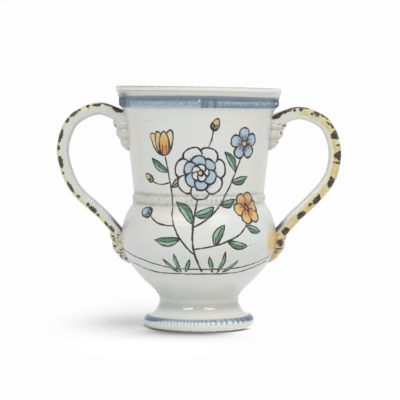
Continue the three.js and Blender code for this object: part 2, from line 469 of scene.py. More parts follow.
# Strap handles: their middle lines, then the section, in millimetres
strap = {
    "left": {
        "Side": -1.0, "Seed": 3.0, "Slimming": 0.11,
        "keys": [
            (50, 145.5), (57.7, 151.1), (71.7, 155.7), (88, 148.8), (93.8, 140.6), (97.2, 124.5),
            (90.9, 102.9), (84.5, 94.1), (74.9, 85.5), (68.5, 79.7), (61.5, 71.7), (52, 59.4),
        ],
    },
    "right": {
        "Side": 1.0, "Seed": 8.0, "Slimming": 0.0,
        "keys": [
            (50, 143.4), (57.7, 148.3), (71.7, 152.5), (88.1, 146.3), (93.9, 138.4), (97.2, 124.5),
            (95, 109.5), (91.5, 102.5), (84, 93.4), (75.5, 84.9), (68.7, 78.6), (62, 71.2), (52, 59.4),
        ],
    },
    "thickness": 9.1, "wallDepth": 2.4,
}


def handleLine(which):
    return throughKeys([(which["Side"] * x, z) for x, z in which["keys"]], 1.2, 0.5)


def makeStrapTree():
    tree, wire, end = newTree(
        "GeometryNodeTree",
        "strapHandle",
        {
            "Line": "Geometry", "Stations": 220, "Sides": 72, "Thickness": 8.8 * mm, "Width": 12.0 * mm,
            "Slimming": 0.12, "Squareness": 0.66, "Groove": 0.035, "Groove Place": -0.28, "Root Swell": 0.16,
            "Wobble": 0.3 * mm, "Side": 1.0, "Seed": 0.0, "Material": "Material",
        },
        {"Piece": "Geometry"},
    )
    geometry, along, around = sweepGrid(tree, wire["Stations"] + 0.0, wire["Sides"] + 1.0)
    row = along * (wire["Stations"] - 1.0)
    swept = (row - 0.5).share().calc("CEIL") * ((wire["Stations"] - 1.5) - row).share().calc("CEIL")
    factor = ((row - 1.0) / (wire["Stations"] - 3.0)).share()
    curve = outOf(addNode(tree, "GeometryNodeMeshToCurve", {"Mesh": wire["Line"]}))
    sample = addNode(tree, "GeometryNodeSampleCurve", {"Curves": curve, "Factor": factor}, mode="FACTOR")
    centre, tangent = outOf(sample, "Position"), outOf(sample, "Tangent")
    out = vectorMath("CROSS_PRODUCT", tangent, joined(0.0, wire["Side"], 0.0))
    angle = around * (2 * math.pi)
    turns = (angle.calc("COSINE"), angle.calc("SINE"))
    high, wide = [part.calc("SIGN") * (abs(part) ** wire["Squareness"]) for part in turns]
    slim = 1.0 - factor.smooth(0.25, 0.8) * wire["Slimming"]
    swell = 1.0 + (factor.bell(0.0, 0.07) + factor.bell(1.0, 0.06)) * wire["Root Swell"]
    uneven = centre.noise(55.0, 1.0, wire["Seed"])
    halfThick = (wire["Thickness"] * 0.5 * slim + (uneven - 0.55) * wire["Wobble"]) * swell
    halfWide = (wire["Width"] * 0.5 * slim + (uneven - 0.5) * wire["Wobble"]) * swell
    groove = 1.0 - high.bell(wire["Groove Place"], 0.13) * wire["Groove"] * abs(wide)
    rise = high * halfThick * swept
    reach = wide * halfWide * groove * swept
    place = centre
    for direction, amount in ((out, rise), ((0.0, 1.0, 0.0), reach)):
        moved = addNode(tree, "ShaderNodeVectorMath", {0: direction, "Scale": amount}, operation="SCALE")
        place = vectorMath("ADD", place, outOf(moved))
    length = outOf(addNode(tree, "GeometryNodeCurveLength", {"Curve": curve}))
    stored = {"along": factor * length * 1000.0, "outward": rise * 1000.0}
    finishSweep(tree, geometry, place, wire["Material"], end, stored)
    return tree


# Radius of the outside wall at a height
wallLine = potLine("footSide") + potLine("bowlSide") + potLine("neckSide") + potLine("lipSide")[:8]


def wallRadius(z):
    for low, high in zip(wallLine, wallLine[1:]):
        if low.y <= z <= high.y and high.y > low.y:
            return low.x + (high.x - low.x) * (z - low.y) / (high.y - low.y)
    return wallLine[-1].x


# What runs into the wall stops part way through it
def stopInWall(mesh, depth):
    for vertex in mesh.vertices:
        reach = math.hypot(vertex.co.x, vertex.co.y)
        least = (wallRadius(vertex.co.z / mm) - depth) * mm
        if reach < least:
            vertex.co.x *= least / reach
            vertex.co.y *= least / reach


def makeHandle(name, tree, material):
    which = strap[name]
    sizes = {**which, "Thickness": strap["thickness"] * mm, "Material": material}
    piece = grown("handle_" + name + "_glazed", polyline("line", handleLine(which)), tree, sizes)
    stopInWall(piece.data, strap["wallDepth"])
    finishPiece(piece, "painted_glaze", "handle_" + name)


# Moulded leaf sprigs over the handle ends, hanging down the wall, in millimetres
sprigs = {
    "upper_leaf_left": {
        "side": -1, "top": 149.0, "bottom": 125.3, "halfWidth": 8.5, "proudTop": 8.9, "proudTip": 4.2,
    },
    "upper_leaf_right": {
        "side": 1, "top": 147.5, "bottom": 125.6, "halfWidth": 8.5, "proudTop": 10.4, "proudTip": 4.4,
    },
    "lower_leaf_left": {
        "side": -1, "top": 67.5, "bottom": 44.8, "halfWidth": 9.3, "proudTop": 7.5, "proudTip": 2.2,
    },
    "lower_leaf_right": {
        "side": 1, "top": 67.5, "bottom": 44.8, "halfWidth": 9.3, "proudTop": 6.9, "proudTip": 1.9,
    },
}
mould = {
    "stations": 110, "ringPoints": 72, "sunk": 2.6, "veinDepth": 0.28, "ribHeight": 0.45,
    "lobes": 3, "lobeDepth": 0.15, "swell": 0.16,
}


def ease(value, low, high):
    share = min(max((value - low) / (high - low), 0.0), 1.0)
    return share * share * (3 - 2 * share)


def sprigPoint(leaf, s, q, back):
    z = leaf["top"] + (leaf["bottom"] - leaf["top"]) * s
    slope = (wallRadius(z + 1) - wallRadius(z - 1)) / 2
    out = Vector((1.0, 0.0, -slope)).normalized()
    lobe = abs(math.sin(math.pi * mould["lobes"] * (0.06 + 0.94 * s)))
    tip = math.sqrt(max(1 - s**6, 0.03))
    fullness = math.sin(math.pi * min(s / 0.84, 1.0))
    outline = 0.66 + 0.34 * fullness
    halfWide = leaf["halfWidth"] * outline * tip * (1 + mould["lobeDepth"] * (lobe**0.7 - 0.6))
    rise = leaf["proudTop"] + (leaf["proudTip"] - leaf["proudTop"]) * s**1.6
    rise *= tip * (1 + mould["swell"] * (lobe**0.8 - 0.6))
    dome = max(1 - q * q, 0.0) ** 0.42
    side = abs(q)
    vein = math.cos(2 * math.pi * (mould["lobes"] * (0.06 + 0.94 * s) - 0.42 * side))
    relief = mould["veinDepth"] * vein * ease(side, 0.1, 0.3) * ease(1 - side, 0.0, 0.3)
    relief += mould["ribHeight"] * math.exp(-((q / 0.1) ** 2)) * (1 - 0.6 * s) - 0.25
    proud = -mould["sunk"] if back else rise * dome + relief * ease(dome, 0.2, 0.8)
    base = Vector((wallRadius(z), 0.0, z)) + out * max(proud, -mould["sunk"])
    return Vector((base.x * leaf["side"], halfWide * q, base.z)) * mm


def makeSprig(name, material, slot):
    stations, count = mould["stations"], mould["ringPoints"]
    edge = [(math.cos(math.pi * j / count), False) for j in range(count + 1)] + [(-0.98, True), (0.98, True)]
    mesh = bmesh.new()
    down = mesh.verts.layers.float.new("down")
    side = mesh.verts.layers.float.new("side")
    loops = []
    for i in range(stations + 1):
        s = i / stations
        loop = []
        for q, back in edge:
            vertex = mesh.verts.new(sprigPoint(sprigs[name], s, q, back))
            vertex[down], vertex[side] = s, q
            loop.append(vertex)
        loops.append(loop)
    total = len(edge)
    for loop, after in zip(loops, loops[1:]):
        for j in range(total):
            k = (j + 1) % total
            mesh.faces.new((loop[j], loop[k], after[k], after[j]))
    for loop in (loops[0], loops[-1]):
        hub = mesh.verts.new(sum((vertex.co for vertex in loop), Vector()) / total)
        hub[down], hub[side] = loop[0][down], 0.0
        for j in range(total):
            mesh.faces.new((hub, loop[j], loop[(j + 1) % total]))
    bmesh.ops.recalc_face_normals(mesh, faces=mesh.faces)
    for face in mesh.faces:
        face.smooth = True
    made = bpy.data.meshes.new(name + "_glazed")
    mesh.to_mesh(made)
    mesh.free()
    made.materials.append(material)
    finishPiece(addObject(name + "_glazed", made), slot, name)


# Colours are multiplied into the white of the glaze, as thin metal oxides under it are
white = (1.0, 1.0, 1.0, 1.0)
tints = {
    "white": white, "ochre": (0.96, 0.66, 0.27), "paleOchre": (1.0, 0.84, 0.55),
    "orange": (0.92, 0.33, 0.085), "blue": (0.27, 0.36, 0.50), "paleBlue": (0.62, 0.74, 0.88),
    "green": (0.10, 0.27, 0.17),
    "paleGreen": (0.45, 0.70, 0.52), "brown": (0.33, 0.20, 0.11), "manganese": (0.022, 0.018, 0.02),
    "thinManganese": (0.15, 0.095, 0.095), "dirt": (0.62, 0.56, 0.48),
}
glaze = {
    "cool": (0.60, 0.625, 0.605), "warm": (0.635, 0.625, 0.585),
    "pit": (0.25, 0.20, 0.16), "clay": (0.50, 0.40, 0.31),
}


# The glaze itself: clouded white, pinholes, a slightly wavy skin
def makeGlazeTree():
    tree, wire, end = newTree(
        "ShaderNodeTree",
        "tinGlaze",
        {"Place": "Vector", "Tint": ("Color", white), "Wear": 0.0, "Haze": 0.1, "Ripple": 1.0},
        {"Color": "Color", "Roughness": "Float", "Relief": "Float"},
    )
    place = wire["Place"]
    cloud = place.noise(0.022, 3.0)
    mottle = place.noise(0.35)
    body = blend((cloud + (mottle - 0.5) * 0.25).smooth(0.36, 0.68), glaze["cool"], glaze["warm"])
    painted = blend(1.0, body, wire["Tint"], blend_type="MULTIPLY")
    pits = addNode(tree, "ShaderNodeTexVoronoi", {"Vector": place, "Scale": 0.2})
    chance = outOf(pits, "Color").split()[0]
    pit = (outOf(pits, "Distance") / 0.2).smooth(0.42, 0.16) * chance.smooth(0.80, 0.92)
    speckled = blend(pit * 0.75, painted, glaze["pit"])
    worn = blend(wire["Wear"], speckled, glaze["clay"])
    waves = place.noise(0.11, 1.0) * wire["Ripple"] * 0.10
    skin = place.noise(0.9, 1.0) * 0.006
    feed(end.inputs["Color"], worn)
    feed(end.inputs["Roughness"], wire["Haze"] + mottle * 0.05 + wire["Wear"] * 0.5 + pit * 0.2)
    feed(end.inputs["Relief"], waves + skin * wire["Ripple"] - pit * 0.08 - wire["Wear"] * 0.05)
    return tree


glazeTree = makeGlazeTree()


def blankMaterial(name):
    material = bpy.data.materials.new(name)
    material.use_nodes = True
    tree = material.node_tree
    tree.nodes.clear()
    return material, outOf(addNode(tree, "ShaderNodeTexCoord"), "Object")


def newMaterial(name):
    material, place = blankMaterial(name)
    return material, vectorMath("MULTIPLY", place, (1 / mm, 1 / mm, 1 / mm))


def finishMaterial(place, tint, haze, wear=0.0, relief=None, ripple=1.0):
    tree = place.tree
    feeds = {"Place": place, "Tint": tint, "Wear": wear, "Haze": haze, "Ripple": ripple}
    skin = addNode(tree, "ShaderNodeGroup", feeds, node_tree=glazeTree)
    height = outOf(skin, "Relief") if relief is None else outOf(skin, "Relief") + relief
    bump = addNode(tree, "ShaderNodeBump", {"Height": height, "Strength": 1.0, "Distance": mm})
    looks = {"IOR": 1.5, "Base Color": outOf(skin, "Color"), "Roughness": outOf(skin, "Roughness")}
    shader = addNode(tree, "ShaderNodeBsdfPrincipled", {**looks, "Normal": outOf(bump)})
    addNode(tree, "ShaderNodeOutputMaterial", {0: outOf(shader)})


def attribute(place, name):
    return outOf(addNode(place.tree, "ShaderNodeAttribute", attribute_name=name), "Fac")


# Paint laid coat by coat, in the colours of one palette
class Coats:
    def __init__(self, tint, colours):
        self.tint, self.colours = tint, colours

    def lay(self, share, name):
        self.tint = blend(share.share(), self.tint, self.colours[name])


# Painting groups. Each takes the picture so far and lays one brush shape over it. They use no clamp and
# mix no kinds of value, because Cycles would then keep the parts of all shapes at once.
pictureSockets = {"Tint": ("Color", white), "Lines": 9.0}
brushPlace = {
    "Spot": "Vector", "Centre": "Vector", "Lengthwise": ("Vector", (1.0, 0.0, 0.0)),
    "Crosswise": ("Vector", (0.0, 1.0, 0.0)),
}


def newBrush(name, sizes, picture):
    tree, wire, end = newTree("ShaderNodeTree", name, {**brushPlace, **sizes, **picture}, picture)
    away = vectorMath("SUBTRACT", wire["Spot"], wire["Centre"])
    return tree, wire, end, partOf(away, wire["Lengthwise"]), partOf(away, wire["Crosswise"])


def paintOver(wire, end, edge, wash, mark):
    tint = blend(edge.smooth(0.15, -0.2), wire["Tint"], wash)
    lines = wire["Lines"].most(-edge).least(abs(edge) - wire["Outline"]).least(mark)
    feed(end.inputs["Tint"], tint)
    feed(end.inputs["Lines"], lines)


def makePetalTree():
    sizes = {
        "Half Length": 6.0, "Half Width": 4.0, "Bend": 0.0, "Taper": 0.3, "Near Tint": ("Color", white),
        "Far Tint": ("Color", white), "Grain": 0.5, "Outline": 0.5, "Hatch": -1.0,
    }
    tree, wire, end, x, y = newBrush("petal", sizes, pictureSockets)
    s = x / wire["Half Length"]
    across = (y - (1.0 - s * s) * wire["Bend"]) / (s * wire["Taper"] + 1.0)
    t = across / wire["Half Width"]
    k0 = lengthOf(s, t)
    k1 = lengthOf(s / wire["Half Length"], t / wire["Half Width"])
    edge = k0 * (k0 - 1.0) / k1
    fade = (s + (wire["Grain"] - 0.5) * 1.4).smooth(-0.7, 0.55)
    wash = blend(fade, wire["Near Tint"], wire["Far Tint"])
    hatch = abs(abs(t) - 0.36) * wire["Half Width"] - 0.2
    hatch = hatch.most((s - wire["Hatch"]) * wire["Half Length"]).most(edge)
    paintOver(wire, end, edge, wash, hatch)
    return tree


def makeLeafTree():
    sizes = {
        "Half Length": 9.0, "Half Width": 3.0, "Bend": 0.0, "Near Tint": ("Color", white),
        "Far Tint": ("Color", white), "Grain": 0.5, "Outline": 0.3, "Rib": 0.22,
    }
    tree, wire, end, x, y = newBrush("leaf", sizes, pictureSockets)
    s = x / wire["Half Length"]
    across = y - (1.0 - s * s) * wire["Bend"]
    arc = (wire["Half Length"] * wire["Half Length"] / wire["Half Width"] + wire["Half Width"]) * 0.5
    edge = lengthOf(x, abs(across) + arc - wire["Half Width"]) - arc
    dark = (across / wire["Half Width"] + (wire["Grain"] - 0.5) * 2.2).smooth(-0.5, 0.7)
    wash = blend(dark, wire["Near Tint"], wire["Far Tint"])
    rib = (abs(across) - wire["Rib"]).most((s - 0.75) * wire["Half Length"]).most(edge)
    paintOver(wire, end, edge, wash, rib)
    return tree


def makeStrokeTree():
    sizes = {"Half Length": 9.0, "Bend": 0.0, "Start Width": 0.4, "End Width": 0.25}
    tree, wire, end, x, y = newBrush("stroke", sizes, {"Lines": 9.0})
    s = (x / wire["Half Length"]).least(1.0).most(-1.0)
    across = y - (1.0 - s * s) * wire["Bend"]
    width = (s + 1.0) * 0.5 * (wire["End Width"] - wire["Start Width"]) + wire["Start Width"]
    mark = lengthOf(across, x - s * wire["Half Length"]) - width
    feed(end.inputs["Lines"], wire["Lines"].least(mark))
    return tree


brushes = {"petal": makePetalTree(), "leaf": makeLeafTree(), "stroke": makeStrokeTree()}


noRib = -2.0  # a leaf rib of less than no width


def toward(degrees):
    return Vector((math.cos(math.radians(degrees)), math.sin(math.radians(degrees))))


# The picture: where the brush is on the wall, and the paint laid so far
class Picture:
    def __init__(self, spot, grain, lines):
        self.spot, self.grain, self.lines = spot, grain, lines
        self.tint = white
        self.offset = 0.0

    def lay(self, brush, centre, turn, sizes):
        cosine, sine = toward(turn)
        inputs = {
            **sizes, "Spot": self.spot, "Centre": (centre[0] + self.offset, centre[1], 0.0),
            "Lengthwise": (cosine, sine, 0.0), "Crosswise": (-sine, cosine, 0.0), "Lines": self.lines,
        }
        tinted = brush != "stroke"
        if tinted:
            inputs.update({"Grain": self.grain, "Tint": self.tint})
        node = addNode(self.spot.tree, "ShaderNodeGroup", inputs, node_tree=brushes[brush])
        self.lines = outOf(node, "Lines")
        if tinted:
            self.tint = outOf(node, "Tint")

    def petal(self, centre, turn, halfLength, halfWidth, near, far, **more):
        self.lay("petal", centre, turn, {
            "Half Length": halfLength, "Half Width": halfWidth,
            "Near Tint": tints[near], "Far Tint": tints[far], **more,
        })

    def between(self, brush, start, finish, sizes):
        run = Vector(finish) - Vector(start)
        middle = (Vector(finish) + Vector(start)) / 2
        turn = math.degrees(math.atan2(run.y, run.x))
        self.lay(brush, middle, turn, {"Half Length": run.length / 2, **sizes})

    def leaf(self, base, tip, halfWidth, bend=0.0, rib=0.26, outline=0.38):
        self.between("leaf", base, tip, {
            "Half Width": halfWidth, "Bend": bend, "Rib": rib, "Outline": outline,
            "Near Tint": tints["green"], "Far Tint": tints["paleGreen"],
        })

    def leaves(self, rows):  # stem, share of the way along it, reach from there, half width and bend
        for stem, share, reach, halfWidth, bend in rows:
            base = pointOn(stem, share)
            self.leaf(base, base + Vector(reach), halfWidth, bend)

    def stroke(self, start, finish, bend=0.0, thick=0.42, thin=0.3):
        self.between("stroke", start, finish, {"Bend": bend, "Start Width": thick, "End Width": thin})

    def ringOfPetals(self, centre, count, turn, reach, halfLength, halfWidth, near, far, **more):
        for i in range(count):
            angle = turn + 360 * i / count
            middle = Vector(centre) + toward(angle) * reach
            self.petal(middle, angle, halfLength, halfWidth, near, far, **more)


def paintPeony(picture, centre):
    picture.ringOfPetals(centre, 7, 12, 11.2, 7.4, 6.4, "paleBlue", "white", Taper=0.35, Hatch=0.15)
    picture.ringOfPetals(centre, 6, 38, 6.2, 6.0, 4.7, "blue", "paleBlue", Taper=0.35, Hatch=-0.1)
    picture.ringOfPetals(centre, 5, 5, 2.6, 3.6, 3.0, "paleBlue", "white", Taper=0.3)
    picture.petal(centre, 0, 2.0, 1.9, "ochre", "ochre")


def paintTulip(picture, foot, turn, size):
    for spread, reach, half, wide, near, far in (
        (26, 9.5, 9.0, 3.6, "ochre", "paleOchre"),
        (-26, 9.5, 9.0, 3.6, "ochre", "paleOchre"),
        (10, 9.0, 8.4, 3.8, "paleOchre", "ochre"),
        (-9, 8.6, 8.2, 4.0, "orange", "ochre"),
    ):
        angle = math.radians(turn + spread)
        middle = (foot[0] + math.cos(angle) * reach * size, foot[1] + math.sin(angle) * reach * size)
        picture.petal(middle, turn + spread, half * size, wide * size, near, far, Taper=-0.15, Hatch=-0.2)


def paintBlossom(picture, centre, size, turn, near, far, heart, count=5):
    outer = (5.0 * size, 4.3 * size, 3.3 * size)
    picture.ringOfPetals(centre, count, turn, *outer, near, far, Taper=0.3, Hatch=-0.1)
    picture.petal(centre, 0, 1.7 * size, 1.6 * size, heart, heart)


def paintBud(picture, foot, turn, size, near, far):
    middle = Vector(foot) + toward(turn) * 3.6 * size
    picture.petal(middle, turn, 3.9 * size, 2.3 * size, near, far, Taper=-0.2)
    for spread in (28, -28):
        picture.leaf(foot, Vector(foot) + toward(turn + spread) * 4.2 * size, 0.9 * size, rib=noRib)


# A point of a bent stroke, by its share of the way along
def pointOn(stroke, share):
    start, finish, bend = Vector(stroke[0]), Vector(stroke[1]), stroke[2]
    run = (finish - start).normalized()
    s = share * 2 - 1
    return start.lerp(finish, share) + Vector((-run.y, run.x)) * (1 - s * s) * bend


def paintFront(picture):
    trunk = ((2, 44), (-4, 70), 1.8)
    crown = ((-4, 70), (1, 100), 1.2)
    tulip = (pointOn(trunk, 0.45), (-20, 92), 4.0)
    tulipNeck = ((-20, 92), (-25, 125), -0.3)
    bell = (pointOn(tulip, 0.6), (-37, 83), 2.6)
    berry = (pointOn(tulipNeck, 0.4), (-38, 106), 2.0)
    blossom = (pointOn(crown, 0.15), (22, 99), -3.0)
    blossomNeck = ((22, 99), (33, 126), -0.5)
    pink = (pointOn(trunk, 0.62), (25, 68), -1.6)
    pinkNeck = ((25, 68), (36, 82), -1.7)
    top = ((4, 124), (10, 143), -1.2)
    for stem in (trunk, crown):
        picture.stroke(*stem, 0.72, 0.5)
    for stem in (tulip, tulipNeck, bell, berry, blossom, blossomNeck, pink, pinkNeck, top):
        picture.stroke(*stem, 0.52, 0.42)
    # leaves, from the ground up
    picture.leaves((
        (pink, 0.45, (7, 14), 2.8, 1.2),
        (pink, 0.75, (14, -4), 2.5, -1.2),
        (tulip, 0.35, (-17, -1), 2.9, 1.6),
        (crown, 0.22, (-13, 15), 3.0, -1.6),
        (crown, 0.42, (14, 5), 2.9, -1.6),
        (blossom, 0.7, (12, 3), 2.5, -1.2),
        (tulipNeck, 0.30, (12, 10), 2.6, -1.2),
        (tulipNeck, 0.62, (-13, 9), 2.6, 1.2),
        (blossomNeck, 0.25, (14, 3), 2.6, -1.2),
        (blossomNeck, 0.5, (-9, 14), 2.6, -1.2),
        (pinkNeck, 0.6, (12, -5), 2.4, -1.0),
    ))
    paintPeony(picture, (1, 112))
    paintTulip(picture, (-25, 124), 99, 1.0)
    paintBlossom(picture, (34, 132), 1.2, 20, "blue", "paleBlue", "ochre")
    paintBlossom(picture, (38, 87), 1.2, 8, "orange", "ochre", "brown", 6)
    paintBud(picture, (-36, 83), 168, 1.4, "blue", "paleBlue")
    paintBud(picture, (-37, 106), 150, 1.1, "orange", "ochre")
    paintBud(picture, (10, 142), 70, 1.1, "orange", "ochre")
    # tufts of grass on the ground
    for base, tip, bend in (
        ((-15, 43), (-24, 52), 0.8),
        ((-13, 43), (-16, 56), 0.5),
        ((-10, 43), (-6, 52), -0.5),
        ((10, 43), (7, 54), 0.4),
        ((14, 43), (17, 57), -0.8),
        ((18, 43), (27, 51), -0.8),
    ):
        picture.leaf(base, tip, 1.2, bend, noRib, 0.28)


def paintBack(picture):
    trunk = ((1, 58), (-3, 86), 1.6)
    crown = ((-3, 86), (2, 112), 1.2)
    right = (pointOn(trunk, 0.5), (20, 94), 3.0)
    left = (pointOn(trunk, 0.85), (-22, 104), -3.0)
    for stem in (trunk, crown, right, left):
        picture.stroke(*stem, 0.48, 0.36)
    picture.leaves((
        (trunk, 0.25, (-15, 5), 2.8, 1.4),
        (trunk, 0.4, (14, -3), 2.6, -1.2),
        (crown, 0.3, (14, 4), 2.8, -1.4),
        (crown, 0.45, (-11, 13), 2.6, -1.2),
        (right, 0.65, (13, -3), 2.4, -1.2),
    ))
    paintBlossom(picture, (2, 116), 1.6, 15, "blue", "paleBlue", "ochre", 6)
    paintBud(picture, (20, 94), 50, 1.4, "orange", "ochre")
    paintBud(picture, (-22, 104), 130, 1.4, "blue", "paleBlue")


# Two thin lines round the bowl, which climb towards the handles
groundLines = (
    {"height": 45.1, "middle": 6.5, "flat": 25.0, "climb": 0.24},
    {"height": 41.5, "middle": -1.3, "flat": 32.5, "climb": 0.25},
)
paintScale = 50.0  # millimetres of wall to a radian
backOffset = 400.0  # puts the sprig of the back out of reach of the front's


def paintBowlAndNeck(place):
    x, y, z = place.split()
    front = x.calc("ARCTAN2", -y) * paintScale
    back = (-x).calc("ARCTAN2", y) * paintScale + backOffset
    behind = y.calc("GREATER_THAN", 0.0)
    wander = place.noise(0.16, 1.0)
    shiver = place.noise(0.7, 1.0)
    u = front + (back - front) * behind + (wander - 0.5) * 1.1 + (shiver - 0.5) * 0.25
    v = z + (place.noise(0.17, 1.0, 0.0) - 0.5) * 1.1
    grain = place.noise(0.45)
    spot = joined(u, v, 0.0)
    turned = front + (back - backOffset - front) * behind
    ground = None
    for line in groundLines:
        past = abs(turned - line["middle"]) - line["flat"]
        climb = (past + (past * past + 30.0) ** 0.5) * (line["climb"] / 2)
        mark = abs(v - climb - line["height"]) - 0.36
        ground = mark if ground is None else ground.least(mark)
    picture = Picture(spot, grain, ground)
    paintFront(picture)
    picture.offset = backOffset
    paintBack(picture)
    press = place.noise(0.22)
    ink = (picture.lines + (press - 0.5) * 0.8).smooth(0.22, -0.06)
    lineTint = blend(press.smooth(0.45, 0.7), tints["manganese"], tints["thinManganese"])
    return blend(ink, picture.tint, lineTint), x, y, z


# Wear of the body: dirt, as height, half height and strength, and flaws that show through the glaze of the
# front, as across, up, half width and half height, in millimetres
dirtLines = ((88.5, 0.7, 0.35), (96.1, 0.8, 0.45), (18.3, 0.8, 0.3))
specks = ((-36.7, 148.1, 0.45, 0.4), (36.0, 61.2, 1.1, 0.25), (39.6, 62.0, 0.9, 0.3), (41.6, 79.5, 0.4, 0.4))
bodyColours = {
    "creaseShade": (0.02, 0.02, 0.02), "beadShade": (0.42, 0.41, 0.37), "speck": (0.30, 0.25, 0.20),
    "thick": (1.08, 1.08, 1.07), "thin": (0.955, 0.955, 0.95),
    "flareShade": (0.86, 0.865, 0.85), "blueAbove": (0.22, 0.29, 0.37), "stain": (0.15, 0.20, 0.22),
    "blueBelow": (0.62, 0.74, 0.88), "bright": (1.14, 1.14, 1.12), "shaded": (0.40, 0.40, 0.37),
    "edge": (0.46, 0.44, 0.41),
}


def makeBodyMaterial():
    material, place = newMaterial("painted_tin_glaze")
    painted, x, y, z = paintBowlAndNeck(place)
    normal = outOf(addNode(place.tree, "ShaderNodeNewGeometry"), "Normal")
    outside = partOf(normal, joined(x, y, 0.0)).calc("GREATER_THAN", 0.0)
    coats = Coats(blend(outside, white, painted), {**tints, **bodyColours})
    smear = place.noise(0.3)
    # ochre that ran down from the right handle
    wash = (x.smooth(46.5, 51.0) * z.bell(62.0, 8.0) * (-y).smooth(-4.0, 2.0)).share()
    coats.lay(wash * (smear + 0.9) * outside, "ochre")
    # dirt beside the rib and on the stem, then painted shade: in the creases beside the rib, deeper on the
    # left away from the lamps, round the rib on the left, and on the bowl above the stem
    dirt = None
    for height, halfHeight, strength in dirtLines:
        line = z.bell(height, halfHeight) * strength
        dirt = line if dirt is None else dirt.most(line)
    dirt = dirt * smear.smooth(0.35, 0.7)
    coats.lay(dirt * outside, "dirt")
    creaseShade = z.bell(96.1, 1.2) * 0.36 + z.bell(89.3, 1.3) * 0.34
    creaseShade = creaseShade * (smear * 1.7 + 0.1) * (0.62 - x * 0.005)
    dim = creaseShade.most(z.step(32.0, 19.0) * 0.17) + z.bell(92.0, 6.0) * (x * -0.001 + 0.07)
    coats.lay(dim * outside, "creaseShade")
    # painted shade between the rib's beads
    between = attribute(place, "between") * (smear * 2.2 - 0.85)
    coats.lay(between, "beadShade")
    # painted light and shade: lighter below the rib and above the foot, where light falls on them, and darker
    # on the belly
    thick = blend(z.bell(84.0, 4.5).most(z.bell(34.0, 7.0) * 0.7), white, bodyColours["thick"])
    thick = blend(z.bell(53.0, 9.0), thick, bodyColours["thin"])
    coats.tint = blend(1.0, coats.tint, thick, blend_type="MULTIPLY")
    for across, up, halfWidth, halfHeight in specks:
        speck = lengthOf((x - across) / halfWidth, (z - up) / halfHeight)
        speck = speck + smear * 0.8 + y.smooth(-5.0, 5.0)
        coats.lay(1.7 - speck, "speck")
    # the lip, from the blue that strays past its band up to the worn edge
    level = levelAt(x, y, z)
    chipped = place.noise(0.5, 3.0)
    runs = joined(x, y, z * 0.25).noise(0.8)
    high = level - (y / -57.0).most(0.0) * 0.8 + (runs - 0.5) * 1.2
    above = high.step(165.3, 164.5) * level.step(160.0, 162.0) * 0.9
    stain = x.bell(-53.5, 3.6) * high.step(168.4, 166.0)
    stain = stain * level.step(161.0, 163.0)
    below = level.bell(156.6, 1.0) * runs.smooth(0.25, 0.65) * 0.7
    # painted shade on the flare of the lip, which faces down
    flare = level.step(164.6, 166.0) * level.step(169.6, 168.4)
    flare = flare * (chipped * 0.7 + 0.62)
    coats.lay(flare * outside, "flareShade")
    coats.lay(above * outside, "blueAbove")
    coats.lay(stain * runs.smooth(0.25, 0.55) * outside, "stain")
    coats.lay(below * outside, "blueBelow")
    # painted highlight along the rounded lip, then a painted shade line under it, darker on the left
    strip = level.step(169.2, 170.0) * (chipped * 0.8 + 0.4)
    coats.lay(strip * outside, "bright")
    under = level.bell(168.9, 0.4) * (x * -0.008 + 0.35) * (chipped + 0.3)
    coats.lay(under * outside, "shaded")
    edge = level.bell(171.6, 0.42) * (runs * 1.2 - x * 0.005)
    coats.lay(edge, "edge")
    worn = level.smooth(170.3, 171.2) * chipped.smooth(0.58, 0.68) * 0.6
    finishMaterial(place, coats.tint, 0.26, worn)
    return material


# Blue feathered edge of the foot, and painted light and shade on it
footPaint = {
    "line": 6.6, "endLine": 5.2, "teethEnd": 4.4, "teeth": 73.0, "crowding": 9.0,
    "low": (1.06, 1.06, 1.05), "cushion": (1.16, 1.16, 1.15), "neck": (0.85, 0.855, 0.85),
    "haze": (1.0, 1.06, 1.11), "lobe": (1.12, 1.22, 1.30), "tooth": (0.34, 0.44, 0.64),
    "lineFront": (0.27, 0.37, 0.52), "lineEnds": (0.09, 0.165, 0.34), "litBottomEdge": (1.28, 1.28, 1.26),
    "jointShade": (0.55, 0.56, 0.53),
}


